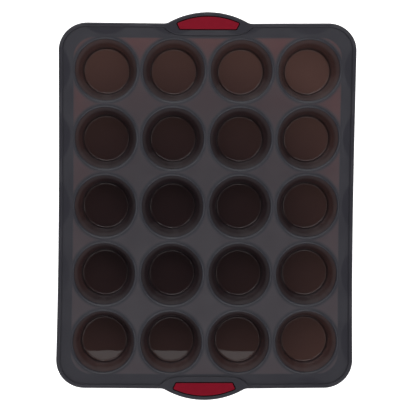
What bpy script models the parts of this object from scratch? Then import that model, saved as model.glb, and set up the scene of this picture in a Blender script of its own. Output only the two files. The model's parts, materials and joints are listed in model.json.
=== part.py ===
"""A twenty-cup silicone muffin tin: a moulded deck and cups, a steel frame inside the rim, and two grips.

Metres, +Z up. The origin is on the table, under the middle of the tray; +Y runs along the tray's length,
out through one handle. Heights below are given from the deck's top face, and DECK_Z lifts it off the table.
The deck and its cups are one moulding, modelled as a deck and twenty cups that meet 0.3 mm apart.
"""

from math import atan2, cos, degrees, radians, sin, tau

import bmesh
import bpy

# Driving dimensions
COLUMNS, ROWS = 4, 5
COLUMN_PITCH, ROW_PITCH = 0.0762, 0.0766  # cup centre to cup centre
HALF_WIDTH = 0.16675
HALF_LENGTH = 0.2058  # to the straight end edge, without the handle
CORNER_R = 0.032
DECK_Z = 0.036  # the deck's top face above the table
GAP = 0.0003  # between pieces that touch

# Rim: a bead round the edge, and a thick band that holds the steel frame
RIM_BOTTOM = -0.0034
RIM_EDGE_CHAMFER = 0.0008
BEAD_TOP = 0.0016
BEAD_ROUND = 0.0012
CREST_IN = 0.0038  # from the outer edge to where the bead's top ends
CREASE_IN = 0.0047  # from the outer edge to where the bead meets the deck
BAND_IN = 0.0154  # width of the thick band on the underside
BAND_CORNER_R = 0.024
DECK_THICK = 0.0018

# Handles: a tab at each end, where the bead widens to a pad
TAB_OUT = 0.0129  # how far a tab reaches past the end edge
TAB_R = 0.090
TAB_FLARE_R = 0.012
PAD_IN = 0.0094  # how far the pad reaches in past the bead's own inner edge
PAD_HALF = 0.050

# Cups: the mouth's rounded lip and short collar belong to the deck, and the cup hangs below them
MOUTH_R, LIP_R = 0.0346, 0.0014
COLLAR_BOTTOM = -0.0028
FLOOR_DEPTH = 0.0342
FLOOR_CORNER_R, FLOOR_CORNER_RISE, FLOOR_R = 0.0266, 0.0022, 0.0245
WALL_THICK = 0.0016

# Steel frame, and the room that the silicone leaves round it
FRAME_OUTER_IN, FRAME_INNER_IN = 0.0046, 0.0130
FRAME_TOP, FRAME_THICK = -0.0012, 0.0010
PIN_HOLE_R = 0.0015
PIN_HOLE_IN = 0.0088
PIN_HOLE_END_X = 0.090

# Grips, each let into a pocket in its pad with a narrow groove all round
POCKET_INNER_IN = 0.0076  # from the end edge in to the pocket's straight side
POCKET_APEX_OUT = 0.0088
POCKET_SHOULDER_OUT = 0.0009
POCKET_HALF_INNER, POCKET_HALF_OUTER = 0.0332, 0.0358
POCKET_CORNER_R = 0.0022
POCKET_SHOULDER_IN = 0.0023  # from the pocket's widest point in to the centre of its rounded shoulder
POCKET_FLOOR = -0.0004
GRIP_GROOVE = 0.0011
GRIP_TOP = 0.0019
GRIP_CHAMFER = 0.0005

# Facets
QUARTER_MID = 0.3  # how far the middle of a rounded edge is in from each side, as a share of its radius
SMOOTH_ANGLE = 35
CUP_SIDES = 24
CORNER_STEPS = 6
FLARE_STEPS = 2
TAB_STEPS = 8
PAD_STEPS = 6
GRIP_STEPS = 6
PIN_SIDES = 8


def clear_scene():
    for old in list(bpy.data.objects):
        bpy.data.objects.remove(old)


def material(name, colour, roughness, metallic=0.0):
    look = bpy.data.materials.new(name)
    look.use_nodes = True
    shader = look.node_tree.nodes["Principled BSDF"]
    shader.inputs["Base Color"].default_value = (*colour, 1.0)
    shader.inputs["Roughness"].default_value = roughness
    shader.inputs["Metallic"].default_value = metallic
    return look


# Outlines in plan


def arc(centre, radius, start, end, steps):
    """Points on a circle from start to end, in degrees, both ends included."""
    turns = [radians(start + (end - start) * k / steps) for k in range(steps + 1)]
    return [(centre[0] + radius * cos(a), centre[1] + radius * sin(a)) for a in turns]


def circle(centre, radius, sides):
    return arc(centre, radius, 0, 360, sides)[:-1]


def mirror_x(points):
    """Completes an outline whose points run from near +X to the Y axis."""
    return points + [(-x, y) for x, y in reversed(points) if x > GAP]


def four_fold(quarter):
    """A closed outline from its first-quadrant points, which run from near +X to the Y axis."""
    half = mirror_x(quarter)
    return half + [(-x, -y) for x, y in half]


def corner(inset, radius=None):
    """A corner of the tray, this far in from the edge."""
    radius = radius or CORNER_R - inset
    centre = (HALF_WIDTH - inset - radius, HALF_LENGTH - inset - radius)
    return arc(centre, radius, 0, 90, CORNER_STEPS)


def tray_outline(inset):
    """The tray with its tabs. A flare joins each tab's arc to the straight end edge."""
    tab_centre = (0, HALF_LENGTH + TAB_OUT - TAB_R)
    drop = HALF_LENGTH + TAB_FLARE_R - tab_centre[1]
    flare_centre = (((TAB_R + TAB_FLARE_R) ** 2 - drop**2) ** 0.5, HALF_LENGTH + TAB_FLARE_R)
    turn = degrees(atan2(drop, flare_centre[0]))
    flare = arc(flare_centre, TAB_FLARE_R + inset, 270, 180 + turn, FLARE_STEPS)
    tab = arc(tab_centre, TAB_R - inset, turn, 90, TAB_STEPS)
    return four_fold(corner(inset) + flare + tab[1:])


def bead_inner_edge(inset):
    """The bead's inner edge, which swings in at each handle to leave a wide pad."""
    pad = []
    for k in range(PAD_STEPS + 1):
        x = 1 - k / PAD_STEPS
        pad.append((PAD_HALF * x, HALF_LENGTH - inset - PAD_IN * (1 - x**3)))
    return four_fold(corner(inset) + pad)


def pocket_outline(inset, end):
    """A grip's pocket: straight on the inside, slanted at its short ends, and an arc outside."""
    rise = POCKET_APEX_OUT - POCKET_SHOULDER_OUT
    arc_r = (POCKET_HALF_OUTER**2 + rise**2) / (2 * rise)
    arc_y = HALF_LENGTH + POCKET_APEX_OUT - arc_r
    slant = atan2(POCKET_HALF_OUTER - POCKET_HALF_INNER, POCKET_SHOULDER_OUT + POCKET_INNER_IN)

    inner_x = POCKET_HALF_INNER - POCKET_CORNER_R * cos(slant)
    inner = (inner_x, HALF_LENGTH - POCKET_INNER_IN + POCKET_CORNER_R)
    reach = arc_r - POCKET_CORNER_R
    outer_x = POCKET_HALF_OUTER - POCKET_SHOULDER_IN
    outer = (outer_x, arc_y + (reach**2 - outer_x**2) ** 0.5)
    shoulder = degrees(atan2(outer[1] - arc_y, outer[0]))

    corner_r = POCKET_CORNER_R - inset
    half = arc(inner, corner_r, -90, -degrees(slant), 2)
    half += arc(outer, corner_r, -degrees(slant), shoulder, 2)
    half += arc((0, arc_y), arc_r - inset, shoulder, 90, GRIP_STEPS)[1:]
    return [(x * end, y * end) for x, y in mirror_x(half)]


def cup_centres():
    """Each cup's row, column, x and y. Row 1 is at +Y, and column 1 at -X."""
    for row in range(ROWS):
        for column in range(COLUMNS):
            x = (column - (COLUMNS - 1) / 2) * COLUMN_PITCH
            yield row + 1, column + 1, x, ((ROWS - 1) / 2 - row) * ROW_PITCH


def pin_hole_centres():
    """Where the mould's pins held the frame: beside each row of cups, and at both ends."""
    side_x, end_y = HALF_WIDTH - PIN_HOLE_IN, HALF_LENGTH - PIN_HOLE_IN
    rows = [((ROWS - 1) / 2 - row) * ROW_PITCH for row in range(ROWS)]
    sides = [(side * side_x, y) for y in rows for side in (-1, 1)]
    return sides + [(side * PIN_HOLE_END_X, end * end_y) for side in (-1, 1) for end in (-1, 1)]


# Solids


class Shell:
    """A solid made of closed loops of edges, with bridges and flat faces between them."""

    def __init__(self):
        self.bm = bmesh.new()

    def loop(self, outline, height):
        verts = [self.bm.verts.new((x, y, DECK_Z + height)) for x, y in outline]
        return [self.bm.edges.new(pair) for pair in zip(verts, verts[1:] + verts[:1])]

    def bridge(self, *loops):
        """Joins each loop to the next, point to point."""
        for first, second in zip(loops, loops[1:]):
            for a, b in zip(first, second):
                self.bm.faces.new((a.verts[0], a.verts[1], b.verts[1], b.verts[0]))

    def flat(self, *loops):
        """One flat face. The widest loop is its edge, and the others are holes in it."""
        bmesh.ops.triangle_fill(self.bm, use_beauty=True, edges=sum(loops, []))

    def finish(self, name, look):
        return solid(self.bm, name, look)


def solid(bm, name, look):
    bmesh.ops.recalc_face_normals(bm, faces=bm.faces)
    mesh = bpy.data.meshes.new(name)
    bm.to_mesh(mesh)
    bm.free()
    mesh.shade_smooth()
    mesh.set_sharp_from_angle(angle=radians(SMOOTH_ANGLE))
    mesh.materials.append(look)
    made = bpy.data.objects.new(name, mesh)
    bpy.context.scene.collection.objects.link(made)
    return made


def wall_radius(height):
    """The inside radius of a cup's tapered wall."""
    wall_foot = FLOOR_CORNER_RISE - FLOOR_DEPTH
    return MOUTH_R + (FLOOR_CORNER_R - MOUTH_R) * (height + LIP_R) / (wall_foot + LIP_R)


def silicone_deck(look):
    """The rim, deck and tabs, hollow in the rim where the frame lies, with a collar at each mouth."""
    shell = Shell()
    outside = [
        shell.loop(tray_outline(RIM_EDGE_CHAMFER), RIM_BOTTOM),
        shell.loop(tray_outline(0), RIM_BOTTOM + RIM_EDGE_CHAMFER),
        shell.loop(tray_outline(0), BEAD_TOP - BEAD_ROUND),
        shell.loop(tray_outline(QUARTER_MID * BEAD_ROUND), BEAD_TOP - QUARTER_MID * BEAD_ROUND),
        shell.loop(tray_outline(BEAD_ROUND), BEAD_TOP),
    ]
    crest = shell.loop(bead_inner_edge(CREST_IN), BEAD_TOP)
    crease = shell.loop(bead_inner_edge(CREASE_IN), 0)
    shell.bridge(*outside)
    shell.bridge(crest, crease)

    pockets = []
    for end in (1, -1):
        mouth = shell.loop(pocket_outline(0, end), BEAD_TOP)
        floor = shell.loop(pocket_outline(0, end), POCKET_FLOOR)
        shell.bridge(mouth, floor)
        shell.flat(floor)
        pockets.append(mouth)
    shell.flat(outside[-1], crest, *pockets)

    lips, roots = [], []
    for _, _, x, y in cup_centres():
        collar = [
            shell.loop(circle((x, y), MOUTH_R + LIP_R, CUP_SIDES), 0),
            shell.loop(circle((x, y), MOUTH_R + QUARTER_MID * LIP_R, CUP_SIDES), -QUARTER_MID * LIP_R),
            shell.loop(circle((x, y), wall_radius(COLLAR_BOTTOM), CUP_SIDES), COLLAR_BOTTOM),
            shell.loop(circle((x, y), wall_radius(COLLAR_BOTTOM) + WALL_THICK, CUP_SIDES), COLLAR_BOTTOM),
            shell.loop(circle((x, y), MOUTH_R + WALL_THICK, CUP_SIDES), -DECK_THICK),
        ]
        shell.bridge(*collar)
        lips.append(collar[0])
        roots.append(collar[-1])
    shell.flat(crease, *lips)

    band_foot = shell.loop(four_fold(corner(BAND_IN, BAND_CORNER_R)), RIM_BOTTOM)
    band_top = shell.loop(four_fold(corner(BAND_IN, BAND_CORNER_R)), -DECK_THICK)
    shell.bridge(band_foot, band_top)
    shell.flat(band_top, *roots)

    room = (FRAME_TOP + GAP, FRAME_TOP - FRAME_THICK - GAP)
    outer = [shell.loop(tray_outline(FRAME_OUTER_IN - GAP), height) for height in room]
    inner = [shell.loop(four_fold(corner(FRAME_INNER_IN + GAP)), height) for height in room]
    shell.bridge(*outer)
    shell.bridge(*inner)
    shell.flat(outer[0], inner[0])
    pin_tops, pin_mouths = [], []
    for centre in pin_hole_centres():
        pin_tops.append(shell.loop(circle(centre, PIN_HOLE_R, PIN_SIDES), room[1]))
        pin_mouths.append(shell.loop(circle(centre, PIN_HOLE_R, PIN_SIDES), RIM_BOTTOM))
        shell.bridge(pin_tops[-1], pin_mouths[-1])
    shell.flat(outer[1], inner[1], *pin_tops)
    shell.flat(outside[0], band_foot, *pin_mouths)
    return shell.finish("silicone_deck", look)


def cup(row, column, x, y, look):
    """One cup, turned about its axis from its section: up the inside and down the outside."""
    top = COLLAR_BOTTOM - GAP
    wall_foot = FLOOR_CORNER_RISE - FLOOR_DEPTH
    section = [
        (0, -FLOOR_DEPTH),
        (FLOOR_R, -FLOOR_DEPTH),
        (FLOOR_CORNER_R, wall_foot),
        (wall_radius(top), top),
        (wall_radius(top) + WALL_THICK, top),
        (FLOOR_CORNER_R + WALL_THICK, wall_foot),
        (FLOOR_R + WALL_THICK, -DECK_Z),
        (0, -DECK_Z),
    ]
    bm = bmesh.new()
    verts = [bm.verts.new((radius, 0, DECK_Z + height)) for radius, height in section]
    edges = [bm.edges.new(pair) for pair in zip(verts, verts[1:])]
    bmesh.ops.spin(
        bm, geom=verts + edges, axis=(0, 0, 1), cent=(0, 0, 0), angle=tau, steps=CUP_SIDES, use_merge=True
    )
    bmesh.ops.remove_doubles(bm, verts=bm.verts, dist=0.00001)
    made = solid(bm, f"cup_row{row}_col{column}", look)
    made.location = (x, y, 0)
    return made


def steel_frame(look):
    """A flat ring stamped from sheet, with a lug that reaches into each handle."""
    shell = Shell()
    faces = (FRAME_TOP, FRAME_TOP - FRAME_THICK)
    outer = [shell.loop(tray_outline(FRAME_OUTER_IN), height) for height in faces]
    inner = [shell.loop(four_fold(corner(FRAME_INNER_IN)), height) for height in faces]
    shell.bridge(*outer)
    shell.bridge(*inner)
    for pair in zip(outer, inner):
        shell.flat(*pair)
    return shell.finish("steel_rim_frame", look)


def grip(name, end, look):
    """A red grip that stands in the pocket in a handle's pad. end is 1 for +Y and -1 for -Y."""
    shell = Shell()
    sides = [
        shell.loop(pocket_outline(GRIP_GROOVE, end), POCKET_FLOOR + GAP),
        shell.loop(pocket_outline(GRIP_GROOVE, end), GRIP_TOP - GRIP_CHAMFER),
        shell.loop(pocket_outline(GRIP_GROOVE + GRIP_CHAMFER, end), GRIP_TOP),
    ]
    shell.bridge(*sides)
    shell.flat(sides[0])
    shell.flat(sides[-1])
    return shell.finish(name, look)


def main():
    clear_scene()
    grey = material("grey_silicone", (0.045, 0.043, 0.048), 0.45)
    red = material("red_silicone", (0.30, 0.012, 0.030), 0.5)
    steel = material("stainless_steel", (0.62, 0.62, 0.63), 0.35, metallic=1.0)
    silicone_deck(grey)
    for row, column, x, y in cup_centres():
        cup(row, column, x, y, grey)
    steel_frame(steel)
    grip("grip_back", 1, red)
    grip("grip_front", -1, red)


main()
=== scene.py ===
"""The looks of the silicone muffin tin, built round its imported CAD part.

Metres, in the part's own frame. Sizes that the frame gives are read from it; the rest are the tray's own,
as in the part's source, and the fine ones that only show here are named below.
"""
import json
from math import asin, atan, atan2, cos, degrees, pi, radians, sin, tan

import bmesh
import bpy
from mathutils import Matrix, Vector

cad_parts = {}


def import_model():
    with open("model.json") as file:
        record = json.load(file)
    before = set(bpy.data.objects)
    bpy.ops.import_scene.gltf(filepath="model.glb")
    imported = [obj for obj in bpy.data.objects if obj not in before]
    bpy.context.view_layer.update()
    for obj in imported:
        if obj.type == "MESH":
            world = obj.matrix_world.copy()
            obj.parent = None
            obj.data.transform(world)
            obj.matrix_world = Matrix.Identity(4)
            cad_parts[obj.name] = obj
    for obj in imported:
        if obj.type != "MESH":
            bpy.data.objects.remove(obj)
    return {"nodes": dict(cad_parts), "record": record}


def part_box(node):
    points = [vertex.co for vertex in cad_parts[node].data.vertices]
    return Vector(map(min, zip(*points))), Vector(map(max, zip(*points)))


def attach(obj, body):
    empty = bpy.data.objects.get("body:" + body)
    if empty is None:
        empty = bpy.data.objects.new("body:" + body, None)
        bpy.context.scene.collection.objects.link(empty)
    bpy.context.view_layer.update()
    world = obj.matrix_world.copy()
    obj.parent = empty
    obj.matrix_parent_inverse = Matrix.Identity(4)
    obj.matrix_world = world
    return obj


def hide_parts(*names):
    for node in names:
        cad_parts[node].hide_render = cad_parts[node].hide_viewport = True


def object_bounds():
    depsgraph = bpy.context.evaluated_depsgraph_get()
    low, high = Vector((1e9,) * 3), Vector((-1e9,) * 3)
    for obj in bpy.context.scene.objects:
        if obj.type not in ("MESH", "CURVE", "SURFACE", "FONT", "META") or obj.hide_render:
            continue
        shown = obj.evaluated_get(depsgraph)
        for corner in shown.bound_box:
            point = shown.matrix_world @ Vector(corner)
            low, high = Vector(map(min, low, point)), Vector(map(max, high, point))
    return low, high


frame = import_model()
cad_low, cad_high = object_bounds()

# Sizes read from the frame
MOUNTS = {mount["name"]: Vector(mount["pos_m"]) for mount in frame["record"]["mounts"]}
CUP_NODES = sorted(name for name in frame["nodes"] if name.startswith("cup_"))
DECK_Z = MOUNTS["deck_top"].z
HALF_WIDTH = cad_high.x
TAB_OUT = 0.0129
HALF_LENGTH = cad_high.y - TAB_OUT
RIM_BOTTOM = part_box("silicone_deck")[0].z - DECK_Z
BEAD_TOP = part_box("silicone_deck")[1].z - DECK_Z

# Outline and rim. Distances "in" are from the outer edge
CORNER_R = 0.032
BAND_IN, BAND_CORNER_R = 0.0154, 0.024
DECK_THICK = 0.0018
EDGE_R = 0.0008
PARTING_HEIGHT, PARTING_HALF, PARTING_OUT = -0.0010, 0.00018, 0.00014
BEAD_R = 0.0013
CREST_IN, CREST_R = 0.0033, 0.0006
GROOVE_IN, GROOVE_R, GROOVE_DEPTH = 0.0047, 0.00045, 0.00032
BAND_FILLET_R = 0.0008

# Handle tabs and their pads
TAB_R, TAB_FLARE_R = 0.090, 0.012
PAD_IN, PAD_HALF = 0.0094, 0.050
POCKET_INNER_IN, POCKET_APEX_OUT, POCKET_SHOULDER_OUT = 0.0076, 0.0088, 0.0009
POCKET_HALF_INNER, POCKET_HALF_OUTER = 0.0332, 0.0358
POCKET_CORNER_R, POCKET_SHOULDER_IN = 0.0022, 0.0023
POCKET_FLOOR, POCKET_R = -0.0004, 0.0002
GRIP_GROOVE, GRIP_TOP, GRIP_R = 0.0011, 0.0019, 0.0006

# Cups
MOUTH_R, LIP_R, LIP_RISE = 0.0346, 0.0009, 0.0003
LIP_GROOVE_WIDTH, LIP_GROOVE_DEPTH = 0.0007, 0.00025
FLOOR_DEPTH, FLOOR_R = 0.0342, 0.0266
TAPER_RUN = 0.0305  # the height over which the wall narrows from MOUTH_R to FLOOR_R
TAPER = atan((MOUTH_R - FLOOR_R) / TAPER_RUN)
WALL_THICK = 0.00165
FLOOR_FILLET_R = 0.0020
BASE_FILLET_R, ROOT_FILLET_R = 0.0020, 0.0012

# Steel frame and the room round it
FRAME_OUTER_IN, FRAME_INNER_IN = 0.0046, 0.0130
FRAME_TOP, FRAME_THICK, FRAME_EDGE_R = -0.0012, 0.0010, 0.0002
GAP = 0.0003
PIN_HOLE_R, PIN_HOLE_IN, PIN_HOLE_END_X = 0.0015, 0.0088, 0.090

# How the soft tray lies out of true: skewed, bowed along, and with long sides that pull in at the middle
SKEW_ACROSS, SKEW_ALONG = 0.0035, 0.0053
BOW, BOW_LEVEL = 0.0012, 0.33
PINCH_ENDS, PINCH_MIDDLE, PINCH_LEAN = 0.00134, -0.0008, 0.0007

# Table: a hair below the cups, so that light gets under them
TABLE_DROP = 0.0003
TABLE_DIM_AT, TABLE_REACH, TABLE_LIGHT = (-0.043, -0.038), (0.235, 0.206), 0.72

# Facets
CUP_SIDES = 96
SIDE_STEPS = 12  # along half of a long side, so that it can bend
CORNER_STEPS, FLARE_STEPS, TAB_STEPS, PAD_STEPS, GRIP_STEPS = 20, 8, 40, 32, 32
ROUND_STEPS = 5
PIN_SIDES = 20


# Outlines in plan


def arc(centre, radius, start, end, steps):
    """Points on a circle from start to end, in degrees, both ends included."""
    turns = [radians(start + (end - start) * k / steps) for k in range(steps + 1)]
    return [(centre[0] + radius * cos(a), centre[1] + radius * sin(a)) for a in turns]


def circle(centre, radius, sides):
    return arc(centre, radius, 0, 360, sides)[:-1]


def mirror_x(points):
    """Completes an outline whose points run from near +X to the Y axis."""
    return points + [(-x, y) for x, y in reversed(points) if x > GAP]


def four_fold(quarter):
    """A closed outline from its first-quadrant points, which run from near +X to the Y axis."""
    half = mirror_x(quarter)
    return half + [(-x, -y) for x, y in half]


def corner(inset, radius=None):
    """Up half of a long side, then round its corner."""
    radius = radius or CORNER_R - inset
    centre = (HALF_WIDTH - inset - radius, HALF_LENGTH - inset - radius)
    side = [(HALF_WIDTH - inset, centre[1] * (k + 0.5) / SIDE_STEPS) for k in range(SIDE_STEPS)]
    return side + arc(centre, radius, 0, 90, CORNER_STEPS)


def tray_outline(inset):
    tab_centre = (0, HALF_LENGTH + TAB_OUT - TAB_R)
    drop = HALF_LENGTH + TAB_FLARE_R - tab_centre[1]
    flare_centre = (((TAB_R + TAB_FLARE_R) ** 2 - drop**2) ** 0.5, HALF_LENGTH + TAB_FLARE_R)
    turn = degrees(atan2(drop, flare_centre[0]))
    flare = arc(flare_centre, TAB_FLARE_R + inset, 270, 180 + turn, FLARE_STEPS)
    tab = arc(tab_centre, TAB_R - inset, turn, 90, TAB_STEPS)
    return four_fold(corner(inset) + flare + tab[1:])


def bead_inner_edge(inset):
    """The bead's inner edge, which swings in at each handle to leave a wide pad."""
    pad = []
    for k in range(PAD_STEPS + 1):
        x = 1 - k / PAD_STEPS
        pad.append((PAD_HALF * x, HALF_LENGTH - inset - PAD_IN * (1 - x**6)))
    return four_fold(corner(inset) + pad)


def pocket_outline(inset, end):
    """A grip's pocket: straight on the inside, slanted at its short ends, and an arc outside."""
    rise = POCKET_APEX_OUT - POCKET_SHOULDER_OUT
    arc_r = (POCKET_HALF_OUTER**2 + rise**2) / (2 * rise)
    arc_y = HALF_LENGTH + POCKET_APEX_OUT - arc_r
    slant = atan2(POCKET_HALF_OUTER - POCKET_HALF_INNER, POCKET_SHOULDER_OUT + POCKET_INNER_IN)

    inner_x = POCKET_HALF_INNER - POCKET_CORNER_R * cos(slant)
    inner = (inner_x, HALF_LENGTH - POCKET_INNER_IN + POCKET_CORNER_R)
    reach = arc_r - POCKET_CORNER_R
    outer_x = POCKET_HALF_OUTER - POCKET_SHOULDER_IN
    outer = (outer_x, arc_y + (reach**2 - outer_x**2) ** 0.5)
    shoulder = degrees(atan2(outer[1] - arc_y, outer[0]))

    corner_r = POCKET_CORNER_R - inset
    half = arc(inner, corner_r, -90, -degrees(slant), 6)
    half += arc(outer, corner_r, -degrees(slant), shoulder, 6)
    half += arc((0, arc_y), arc_r - inset, shoulder, 90, GRIP_STEPS)[1:]
    return [(x * end, y * end) for x, y in mirror_x(half)]


def cup_centres():
    """The middle of each cup in plan, from the CAD cups' boxes."""
    boxes = [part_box(name) for name in CUP_NODES]
    return [((low.x + high.x) / 2, (low.y + high.y) / 2) for low, high in boxes]


def pin_hole_centres():
    side_x, end_y = HALF_WIDTH - PIN_HOLE_IN, HALF_LENGTH - PIN_HOLE_IN
    rows = sorted({round(y, 4) for _, y in cup_centres()})
    sides = [(side * side_x, y) for y in rows for side in (-1, 1)]
    return sides + [(side * PIN_HOLE_END_X, end * end_y) for side in (-1, 1) for end in (-1, 1)]


# Sections, as (radius or distance in, height) with the deck's top face at height 0


def cup_inside():
    """Down the inside of a cup: a groove, raised lip, tapered wall, and the fillet at its floor."""
    lip_centre = (MOUTH_R + LIP_R * cos(TAPER), LIP_RISE - LIP_R)
    lip_start = degrees(asin(1 - LIP_RISE / LIP_R))
    lip = arc(lip_centre, LIP_R, lip_start, 180 - degrees(TAPER), 3 * ROUND_STEPS)
    lip_foot = lip[0][0]
    groove = [(lip_foot + LIP_GROOVE_WIDTH, 0), (lip_foot + LIP_GROOVE_WIDTH / 2, -LIP_GROOVE_DEPTH)]
    foot_x = wall_radius(-FLOOR_DEPTH) - FLOOR_FILLET_R * tan((pi / 2 - TAPER) / 2)
    foot_centre = (foot_x, FLOOR_FILLET_R - FLOOR_DEPTH)
    fillet = arc(foot_centre, FLOOR_FILLET_R, -degrees(TAPER), -90, 2 * ROUND_STEPS)
    return groove + lip + fillet


def cup_outside():
    """Down the outside of a cup, from the deck's underside to the flat that stands on the table."""
    root_x = wall_radius(-DECK_THICK) + WALL_THICK + ROOT_FILLET_R * tan((pi / 2 - TAPER) / 2)
    root = arc((root_x, -DECK_THICK - ROOT_FILLET_R), ROOT_FILLET_R, 90, 180 - degrees(TAPER), ROUND_STEPS)
    base_x = wall_radius(-DECK_Z) + WALL_THICK - BASE_FILLET_R * tan((pi / 2 - TAPER) / 2)
    base = arc((base_x, BASE_FILLET_R - DECK_Z), BASE_FILLET_R, -degrees(TAPER), -90, ROUND_STEPS)
    return root + base


def wall_radius(height):
    """The inside radius of a cup's tapered wall."""
    return MOUTH_R + (height + LIP_R - LIP_RISE) * tan(TAPER)


def rim_section():
    """Up the outer edge and over the bead to its crest, as (distance in, height)."""
    under = arc((EDGE_R, RIM_BOTTOM + EDGE_R), EDGE_R, 270, 180, ROUND_STEPS)
    parting = [
        (0, PARTING_HEIGHT - PARTING_HALF),
        (-PARTING_OUT, PARTING_HEIGHT),
        (0, PARTING_HEIGHT + PARTING_HALF),
    ]
    over = arc((BEAD_R, BEAD_TOP - BEAD_R), BEAD_R, 180, 90, ROUND_STEPS)
    return under + parting + over


def bead_inner_section():
    """From the bead's crest down its inner side and through the groove at its foot."""
    crest = arc((CREST_IN, BEAD_TOP - CREST_R), CREST_R, 90, 0, ROUND_STEPS)
    groove = arc((GROOVE_IN, GROOVE_R - GROOVE_DEPTH), GROOVE_R, 180, 340, 2 * ROUND_STEPS)
    return crest + [(x, z) for x, z in groove if z < 0] + [(GROOVE_IN + 1.6 * GROOVE_R, 0)]


# Solids


class Shell:
    """A solid made of closed loops of edges, with bridges and flat faces between them."""

    def __init__(self):
        self.bm = bmesh.new()

    def loop(self, outline, height):
        verts = [self.bm.verts.new((x, y, DECK_Z + height)) for x, y in outline]
        return [self.bm.edges.new(pair) for pair in zip(verts, verts[1:] + verts[:1])]

    def bridge(self, *loops):
        """Joins each loop to the next, point to point."""
        for first, second in zip(loops, loops[1:]):
            for a, b in zip(first, second):
                self.bm.faces.new((a.verts[0], a.verts[1], b.verts[1], b.verts[0]))

    def flat(self, *loops):
        """One flat face. The widest loop is its edge, and the others are holes in it."""
        bmesh.ops.triangle_fill(self.bm, use_beauty=True, edges=sum(loops, []))

    def finish(self, name, look):
        """Bends the solid out of true as the tray lies, and keeps its true place as an attribute."""
        bm = self.bm
        bmesh.ops.recalc_face_normals(bm, faces=bm.faces)
        true_places = [vert.co.copy() for vert in bm.verts]
        for vert in bm.verts:
            vert.co = out_of_true(vert.co)
        mesh = bpy.data.meshes.new(name)
        bm.to_mesh(mesh)
        bm.free()
        true_place = mesh.attributes.new("true_place", "FLOAT_VECTOR", "POINT")
        true_place.data.foreach_set("vector", [c for place in true_places for c in place])
        mesh.shade_smooth()
        mesh.set_sharp_from_angle(angle=radians(50))
        mesh.materials.append(look)
        piece = bpy.data.objects.new(name, mesh)
        bpy.context.scene.collection.objects.link(piece)
        weighted = piece.modifiers.new("even_shading", "WEIGHTED_NORMAL")
        weighted.keep_sharp = True
        return piece


def out_of_true(place):
    """Where the soft tray's own weight and handling have put a point of the true shape."""
    u, v = place.x / HALF_WIDTH, place.y / HALF_LENGTH
    v = max(-1.0, min(v, 1.0))
    pinch = PINCH_MIDDLE + (PINCH_ENDS - PINCH_MIDDLE) * v * v + PINCH_LEAN * v * (1 - v * v)
    bow = BOW * (u * u - BOW_LEVEL)
    across = place.x + SKEW_ACROSS * place.y + pinch * u**3
    return Vector((across, place.y + SKEW_ALONG * place.x + bow, place.z))


def add_pockets(shell):
    """Sinks both grips' pockets, and returns their upper edges."""
    edges = []
    for end in (1, -1):
        section = arc((-POCKET_R, BEAD_TOP - POCKET_R), POCKET_R, 90, 0, 4) + [(0, POCKET_FLOOR)]
        sides = [shell.loop(pocket_outline(inset, end), height) for inset, height in section]
        shell.bridge(*sides)
        shell.flat(sides[-1])
        edges.append(sides[0])
    return edges


def add_cups(shell):
    """Adds the cups, and returns their edges on the deck's upper and lower faces."""
    lips, roots = [], []
    for centre in cup_centres():
        down = [shell.loop(circle(centre, radius, CUP_SIDES), height) for radius, height in cup_inside()]
        under = [shell.loop(circle(centre, radius, CUP_SIDES), height) for radius, height in cup_outside()]
        for section in (down, under):
            shell.bridge(*section)
            shell.flat(section[-1])
        lips.append(down[0])
        roots.append(under[0])
    return lips, roots


def add_band(shell):
    """Adds the thick band's step up to the deck, and returns its loops."""
    turn = (BAND_IN - BAND_FILLET_R, RIM_BOTTOM + BAND_FILLET_R)
    fillet = arc(turn, BAND_FILLET_R, 270, 360, ROUND_STEPS)
    band = [shell.loop(four_fold(corner(inset, BAND_CORNER_R)), height) for inset, height in fillet]
    band.append(shell.loop(four_fold(corner(BAND_IN, BAND_CORNER_R)), -DECK_THICK))
    shell.bridge(*band)
    return band


def add_frame_room(shell):
    """Adds the hollow for the steel frame and its pin holes, and returns the holes' mouths."""
    room = (FRAME_TOP + GAP, FRAME_TOP - FRAME_THICK - GAP)
    outer = [shell.loop(tray_outline(FRAME_OUTER_IN - GAP), height) for height in room]
    inner = [shell.loop(four_fold(corner(FRAME_INNER_IN + GAP)), height) for height in room]
    shell.bridge(*outer)
    shell.bridge(*inner)
    shell.flat(outer[0], inner[0])
    pin_tops, pin_mouths = [], []
    for centre in pin_hole_centres():
        pin_tops.append(shell.loop(circle(centre, PIN_HOLE_R, PIN_SIDES), room[1]))
        pin_mouths.append(shell.loop(circle(centre, PIN_HOLE_R, PIN_SIDES), RIM_BOTTOM))
        shell.bridge(pin_tops[-1], pin_mouths[-1])
    shell.flat(outer[1], inner[1], *pin_tops)
    return pin_mouths


def silicone_tray(look):
    shell = Shell()
    outside = [shell.loop(tray_outline(inset), height) for inset, height in rim_section()]
    inside = [shell.loop(bead_inner_edge(inset), height) for inset, height in bead_inner_section()]
    shell.bridge(*outside)
    shell.bridge(*inside)
    pockets = add_pockets(shell)
    shell.flat(outside[-1], inside[0], *pockets)
    lips, roots = add_cups(shell)
    shell.flat(inside[-1], *lips)
    band = add_band(shell)
    shell.flat(band[-1], *roots)
    pin_mouths = add_frame_room(shell)
    shell.flat(outside[0], band[0], *pin_mouths)
    return shell.finish("silicone_tray", look)


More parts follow.
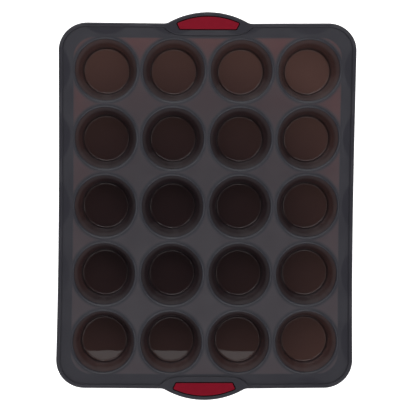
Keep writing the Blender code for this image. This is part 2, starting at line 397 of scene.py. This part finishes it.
def steel_frame(look):
    shell = Shell()
    low = FRAME_TOP - FRAME_THICK
    edge = arc((FRAME_EDGE_R, FRAME_TOP - FRAME_EDGE_R), FRAME_EDGE_R, 90, 180, 3)
    edge += arc((FRAME_EDGE_R, low + FRAME_EDGE_R), FRAME_EDGE_R, 180, 270, 3)
    outer = [shell.loop(tray_outline(FRAME_OUTER_IN + inset), height) for inset, height in edge]
    inner = [shell.loop(four_fold(corner(FRAME_INNER_IN - inset)), height) for inset, height in edge]
    shell.bridge(*outer)
    shell.bridge(*inner)
    for k in (0, -1):
        shell.flat(outer[k], inner[k])
    return shell.finish("steel_frame", look)


def grip(name, end, look):
    shell = Shell()
    section = [(GRIP_GROOVE, POCKET_FLOOR + GAP)]
    section += arc((GRIP_GROOVE + GRIP_R, GRIP_TOP - GRIP_R), GRIP_R, 180, 90, ROUND_STEPS)
    sides = [shell.loop(pocket_outline(inset, end), height) for inset, height in section]
    shell.bridge(*sides)
    shell.flat(sides[0])
    shell.flat(sides[-1])
    return shell.finish(name, look)


# Materials


class Graph:
    """A material's nodes, with short ways to add the ones used here."""

    def __init__(self, name):
        self.material = bpy.data.materials.new(name)
        self.material.use_nodes = True
        self.nodes, self.links = self.material.node_tree.nodes, self.material.node_tree.links
        self.shader = self.nodes["Principled BSDF"]
        self.output = self.nodes["Material Output"]

    def feed(self, value, socket):
        """Links a socket, or sets a plain value."""
        if isinstance(value, bpy.types.NodeSocket):
            self.links.new(value, socket)
        else:
            socket.default_value = value

    def math(self, operation, a, b=0.0, clamp=False):
        node = self.nodes.new("ShaderNodeMath")
        node.operation, node.use_clamp = operation, clamp
        self.feed(a, node.inputs[0])
        self.feed(b, node.inputs[1])
        return node.outputs[0]

    def ramp(self, value, start, end, low=0.0, high=1.0):
        """Runs smoothly from low to high as value goes from start to end."""
        node = self.nodes.new("ShaderNodeMapRange")
        node.interpolation_type = "SMOOTHSTEP"
        for socket, given in zip(node.inputs, (value, start, end, low, high)):
            self.feed(given, socket)
        return node.outputs[0]

    def mix(self, share, first, second):
        """Mixes two colours."""
        node = self.nodes.new("ShaderNodeMix")
        node.data_type = "RGBA"
        self.feed(share, node.inputs["Factor"])
        for socket, colour in ((node.inputs[6], first), (node.inputs[7], second)):
            self.feed(colour if isinstance(colour, bpy.types.NodeSocket) else (*colour, 1.0), socket)
        return node.outputs[2]

    def blend(self, share, first, second):
        """Blends two numbers."""
        node = self.nodes.new("ShaderNodeMix")
        for socket, given in zip((node.inputs[0], node.inputs[2], node.inputs[3]), (share, first, second)):
            self.feed(given, socket)
        return node.outputs[0]

    def noise(self, place, scale, detail=2.0, roughness=0.5):
        node = self.nodes.new("ShaderNodeTexNoise")
        self.feed(place, node.inputs["Vector"])
        node.inputs["Scale"].default_value = scale
        node.inputs["Detail"].default_value = detail
        node.inputs["Roughness"].default_value = roughness
        return node.outputs["Fac"]

    def bump(self, height, distance, strength=1.0, normal=None):
        node = self.nodes.new("ShaderNodeBump")
        node.inputs["Strength"].default_value = strength
        node.inputs["Distance"].default_value = distance
        self.feed(height, node.inputs["Height"])
        if normal:
            self.feed(normal, node.inputs["Normal"])
        return node.outputs["Normal"]

    def true_place(self):
        """A point's place on the true, unbent shape, and its x, y and z."""
        node = self.nodes.new("ShaderNodeAttribute")
        node.attribute_name = "true_place"
        split = self.nodes.new("ShaderNodeSeparateXYZ")
        self.links.new(node.outputs["Vector"], split.inputs[0])
        return node.outputs["Vector"], split.outputs

    def settings(self, **values):
        for name, value in values.items():
            self.feed(value, self.shader.inputs[name.replace("_", " ").title().replace("Ior", "IOR")])


def in_from_band(graph, x, y):
    """How far in from the thick band's inner edge a point is: negative on the band."""
    half = (HALF_WIDTH - BAND_IN - BAND_CORNER_R, HALF_LENGTH - BAND_IN - BAND_CORNER_R)
    over = []
    for value, reach in ((x, half[0]), (y, half[1])):
        over.append(graph.math("SUBTRACT", graph.math("ABSOLUTE", value), reach))
    beyond = [graph.math("MAXIMUM", value, 0.0) for value in over]
    squares = [graph.math("MULTIPLY", value, value) for value in beyond]
    past_corner = graph.math("SQRT", graph.math("ADD", *squares))
    within = graph.math("MINIMUM", graph.math("MAXIMUM", *over), 0.0)
    return graph.math("SUBTRACT", BAND_CORNER_R, graph.math("ADD", past_corner, within))


def from_cup_axis(graph, x, y):
    """How far a point is, in plan, from the nearest cup's axis."""
    squares = []
    for value, places in ((x, [x for x, _ in cup_centres()]), (y, [y for _, y in cup_centres()])):
        places = sorted({round(place, 4) for place in places})
        pitch = places[1] - places[0]
        turns = graph.math("ADD", graph.math("DIVIDE", value, pitch), 0.5 - places[0] / pitch)
        off = graph.math("MULTIPLY", graph.math("SUBTRACT", graph.math("FRACT", turns), 0.5), pitch)
        squares.append(graph.math("MULTIPLY", off, off))
    return graph.math("SQRT", graph.math("ADD", *squares))


def pocket_gap_shade_mask(graph, x, y, height):
    """Where painted shade darkens the narrow gap round a grip, down in its pocket."""
    along = graph.math("ABSOLUTE", y)
    off = graph.math("SUBTRACT", along, HALF_LENGTH + TAB_OUT - TAB_R)
    squares = [graph.math("MULTIPLY", value, value) for value in (x, off)]
    out = graph.math("SQRT", graph.math("ADD", *squares))
    masks = [
        graph.ramp(graph.math("ABSOLUTE", x), POCKET_HALF_OUTER + 0.0014, POCKET_HALF_OUTER + 0.0009),
        graph.ramp(along, HALF_LENGTH - POCKET_INNER_IN - 0.0005, HALF_LENGTH - POCKET_INNER_IN),
        graph.ramp(out, TAB_R - 0.0022, TAB_R - 0.0026),
        graph.ramp(height, BEAD_TOP - 0.0003, BEAD_TOP - 0.0006),
        graph.ramp(height, POCKET_FLOOR - 0.0011, POCKET_FLOOR - 0.0005),
    ]
    share = masks[0]
    for mask in masks[1:]:
        share = graph.math("MULTIPLY", share, mask)
    return share


def let_light_through(graph, colour, share):
    """Mixes in a share of light that comes through from behind."""
    glow = graph.nodes.new("ShaderNodeBsdfTranslucent")
    graph.feed(colour, glow.inputs["Color"])
    both = graph.nodes.new("ShaderNodeMixShader")
    graph.feed(share, both.inputs[0])
    graph.links.new(graph.shader.outputs[0], both.inputs[1])
    graph.links.new(glow.outputs[0], both.inputs[2])
    graph.links.new(both.outputs[0], graph.output.inputs["Surface"])


def grey_silicone():
    """Smoky silicone: slate where it is thick, and brown where it is thin and lets light through."""
    graph = Graph("grey_silicone")
    place, (x, y, z) = graph.true_place()
    height = graph.math("SUBTRACT", z, DECK_Z)
    cloud = graph.noise(place, 45.0, 3.0, 0.55)
    fine = graph.noise(place, 2600.0, 2.0, 0.6)

    inside_band = graph.ramp(in_from_band(graph, x, y), 0.0, 0.0020)
    in_cup = graph.math("MULTIPLY", inside_band, graph.ramp(height, -0.0012, -0.0034))
    axis = from_cup_axis(graph, x, y)
    # Painted shade: the wall turns darker and browner deeper in the cup, partly the silicone's browner tone
    # and partly shade
    deep_wall_shade = graph.ramp(height, -0.0098, -0.0165)
    high_wall = graph.ramp(height, -0.0010, -0.0024)
    # Painted reflection: a lighter band low on the wall, above the floor's fillet, for light reflected up
    # off the glossy floor
    foot_band_highlight = graph.ramp(height, -0.0210, -0.0245)
    foot_band_highlight = graph.math("MULTIPLY", foot_band_highlight, graph.ramp(height, -0.0292, -0.0270))
    on_floor = graph.ramp(height, 0.0014 - FLOOR_DEPTH, 0.0004 - FLOOR_DEPTH)
    # Painted shade: a dark ring in the fillet where the wall meets the floor, partly thicker silicone and
    # partly shade in the crease; it is also rougher and lets little light through
    crease_shade_ring = graph.math("MULTIPLY", graph.ramp(axis, 0.0256, 0.0261), graph.ramp(height, -0.0285, -0.0303))
    thin_deck = graph.math("MULTIPLY", inside_band, graph.ramp(axis, 0.0366, 0.0406))

    slate = graph.mix(cloud, (0.0184, 0.0177, 0.0236), (0.0232, 0.0224, 0.0290))
    deck = graph.mix(cloud, (0.0420, 0.0392, 0.0460), (0.0488, 0.0458, 0.0530))
    high = graph.mix(cloud, (0.0505, 0.0430, 0.0468), (0.0600, 0.0515, 0.0560))
    # The lower wall's darker, browner colour: partly the silicone's own tone, partly painted shade
    low = graph.mix(cloud, (0.0275, 0.0190, 0.0222), (0.0330, 0.0235, 0.0272))
    base = graph.mix(cloud, (0.0275, 0.0160, 0.0180), (0.0335, 0.0200, 0.0220))
    # The lighter band low on the wall is a painted reflection
    low = graph.mix(foot_band_highlight, low, (0.0400, 0.0295, 0.0335))
    cup = graph.mix(on_floor, graph.mix(deep_wall_shade, high, low), base)
    # Darker ring in the floor's fillet: painted shade, partly the thicker silicone
    cup = graph.mix(crease_shade_ring, cup, (0.0190, 0.0135, 0.0155))
    colour = graph.mix(in_cup, graph.mix(thin_deck, slate, deck), cup)
    # Painted shade: the narrow gap round each grip is coloured near black, with almost no sheen, for the
    # shadow down in it
    painted_gap_shade = pocket_gap_shade_mask(graph, x, y, height)
    colour = graph.mix(painted_gap_shade, colour, (0.0030, 0.0027, 0.0034))

    satin = graph.ramp(cloud, 0.3, 0.7, 0.42, 0.50)
    glossy = graph.ramp(cloud, 0.3, 0.7, 0.004, 0.016)
    by_lip = graph.ramp(axis, 0.0374, 0.0362)
    roughness = graph.blend(by_lip, satin, graph.blend(high_wall, 0.30, 0.14))
    roughness = graph.blend(crease_shade_ring, graph.blend(on_floor, roughness, glossy), 0.4)
    roughness = graph.blend(painted_gap_shade, roughness, 0.9)
    sway = graph.math("MULTIPLY", graph.noise(place, 38.0, 1.0, 0.4), graph.blend(on_floor, 1.0, 0.07))
    normal = graph.bump(sway, 0.00025)
    normal = graph.bump(graph.math("MULTIPLY", fine, graph.blend(on_floor, 1.0, 0.0)), 0.00002, 0.5, normal)
    graph.settings(base_color=colour, roughness=roughness, ior=1.41, normal=normal)
    graph.settings(specular_ior_level=graph.blend(painted_gap_shade, 0.5, 0.05))

    cup_glow = graph.mix(on_floor, (0.52, 0.33, 0.27), (0.64, 0.46, 0.41))
    # Painted light: the deck lets more light through toward +Y, making that end glow as if lit more strongly
    # from behind
    deck_share_toward_back = graph.math("MULTIPLY", thin_deck, graph.ramp(y, -0.2, 0.2, 0.12, 0.29))
    share = graph.blend(in_cup, deck_share_toward_back, graph.blend(on_floor, 0.20, 0.35))
    let_light_through(graph, graph.mix(in_cup, (0.76, 0.27, 0.17), cup_glow), graph.blend(crease_shade_ring, share, 0.08))
    return graph.material


def red_silicone():
    """Dark red satin silicone with a very fine moulded grain."""
    graph = Graph("red_silicone")
    place, _ = graph.true_place()
    cloud = graph.noise(place, 160.0, 3.0, 0.6)
    grain = graph.noise(place, 1800.0, 2.0, 0.6)
    colour = graph.mix(cloud, (0.146, 0.0012, 0.0092), (0.183, 0.0020, 0.0123))
    normal = graph.bump(grain, 0.00004, 0.6)
    graph.settings(base_color=colour, roughness=graph.ramp(grain, 0.3, 0.7, 0.42, 0.56), normal=normal)
    graph.settings(ior=1.41, specular_ior_level=0.15)
    return graph.material


def stainless_steel():
    """Sheet steel, brushed along the tray."""
    graph = Graph("stainless_steel")
    place, _ = graph.true_place()
    stretch = graph.nodes.new("ShaderNodeMapping")
    graph.links.new(place, stretch.inputs["Vector"])
    stretch.inputs["Scale"].default_value = (1.0, 0.02, 1.0)
    lines = graph.noise(stretch.outputs[0], 4000.0, 3.0, 0.7)
    colour = graph.mix(lines, (0.52, 0.52, 0.53), (0.66, 0.66, 0.67))
    normal = graph.bump(lines, 0.00001, 0.5)
    roughness = graph.ramp(lines, 0.2, 0.8, 0.26, 0.42)
    graph.settings(base_color=colour, metallic=1.0, roughness=roughness, normal=normal)
    return graph.material


# Stage


def white_floor():
    """A pale table, lit from below. Under the tray its light falls away toward one dim place."""
    graph = Graph("white_floor")
    where = graph.nodes.new("ShaderNodeNewGeometry")
    split = graph.nodes.new("ShaderNodeSeparateXYZ")
    graph.links.new(where.outputs["Position"], split.inputs[0])
    squares = []
    for value, dim, reach in zip(split.outputs, TABLE_DIM_AT, TABLE_REACH):
        share = graph.math("DIVIDE", graph.math("SUBTRACT", value, dim), reach)
        squares.append(graph.math("MULTIPLY", share, share))
    cube = graph.math("POWER", graph.math("ADD", *squares), 1.5)
    sides = [
        graph.math("DIVIDE", graph.math("ABSOLUTE", value), half)
        for value, half in zip(split.outputs, (HALF_WIDTH, HALF_LENGTH))
    ]
    outside = graph.ramp(graph.math("MAXIMUM", *sides), 0.975, 1.005)
    light = graph.math("MAXIMUM", graph.math("MULTIPLY", cube, TABLE_LIGHT), outside)
    light = graph.math("MINIMUM", light, 1.0)
    graph.settings(base_color=(0.86, 0.86, 0.86, 1.0), roughness=0.9)
    graph.settings(emission_color=(1.0, 1.0, 1.0, 1.0), emission_strength=light)
    bpy.ops.mesh.primitive_plane_add(size=60, location=(0, 0, -TABLE_DROP))
    floor = bpy.context.object
    floor.name = "floor"
    floor.data.materials.append(graph.material)


def softbox(name, place, aim, size, power):
    data = bpy.data.lights.new(name, "AREA")
    data.shape = "RECTANGLE"
    data.size, data.size_y = size
    data.energy = power
    light = bpy.data.objects.new(name, data)
    light.location = place
    light.rotation_mode = "QUATERNION"
    light.rotation_quaternion = (Vector(aim) - Vector(place)).to_track_quat("-Z", "Y")
    bpy.context.scene.collection.objects.link(light)


def world():
    """A dim studio, darkest overhead."""
    made = bpy.data.worlds.new("studio")
    made.use_nodes = True
    nodes, links = made.node_tree.nodes, made.node_tree.links
    split = nodes.new("ShaderNodeSeparateXYZ")
    links.new(nodes.new("ShaderNodeTexCoord").outputs["Generated"], split.inputs[0])
    ramp = nodes.new("ShaderNodeMapRange")
    links.new(split.outputs[2], ramp.inputs["Value"])
    ramp.inputs["To Min"].default_value, ramp.inputs["To Max"].default_value = 0.36, 0.10
    background = nodes["Background"]
    background.inputs["Color"].default_value = (0.97, 0.98, 1.0, 1.0)
    links.new(ramp.outputs[0], background.inputs["Strength"])
    bpy.context.scene.world = made


def lights():
    middle = (0, 0, DECK_Z)
    softbox("left", (-1.9, 0.1, 1.3), middle, (1.6, 1.6), 8)
    softbox("right", (1.9, -0.1, 1.3), middle, (1.6, 1.6), 15.5)
    softbox("back", (-0.65, 1.45, 1.6), middle, (2.0, 1.3), 23)
    softbox("front", (0.5, -1.85, 1.3), middle, (3.2, 1.9), 33)
    softbox("low_front", (-0.9, -2.1, 0.45), middle, (2.4, 0.7), 12)
    softbox("over_front", (-0.20, -0.3562, 1.30), (-0.20, -0.0078, 0), (0.7, 0.1), 0.5)
    softbox("over_back", (0.25, 0.95, 1.25), (0.1, 0.5, 0), (0.9, 0.8), 4.8)


def camera():
    """High over the middle of the tray, tipped by about a degree."""
    data = bpy.data.cameras.new("camera")
    data.sensor_width = 36.0
    data.lens = 145.4
    data.clip_end = 30.0
    eye = bpy.data.objects.new("camera", data)
    turn = Matrix.Rotation(-0.0292, 3, Vector((0.0213, 0.0185, -0.0074)))
    eye.rotation_mode = "QUATERNION"
    eye.rotation_quaternion = turn.to_quaternion()
    eye.location = (-0.0346, 0.0396, 1.8792 + DECK_Z)
    bpy.context.scene.collection.objects.link(eye)
    bpy.context.scene.camera = eye


def main():
    tray = silicone_tray(grey_silicone())
    steel = steel_frame(stainless_steel())
    red = red_silicone()
    back, front = grip("grip_back_soft", 1, red), grip("grip_front_soft", -1, red)
    finished = (
        (tray, "grey_silicone", ["silicone_deck", *CUP_NODES]),
        (steel, "stainless_steel", ["steel_rim_frame"]),
        (back, "red_silicone", ["grip_back"]),
        (front, "red_silicone", ["grip_front"]),
    )
    for piece, slot, nodes in finished:
        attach(piece, "root")
        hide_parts(*nodes)
    white_floor()
    world()
    lights()
    camera()
    bpy.context.scene.view_settings.view_transform = "Standard"


main()
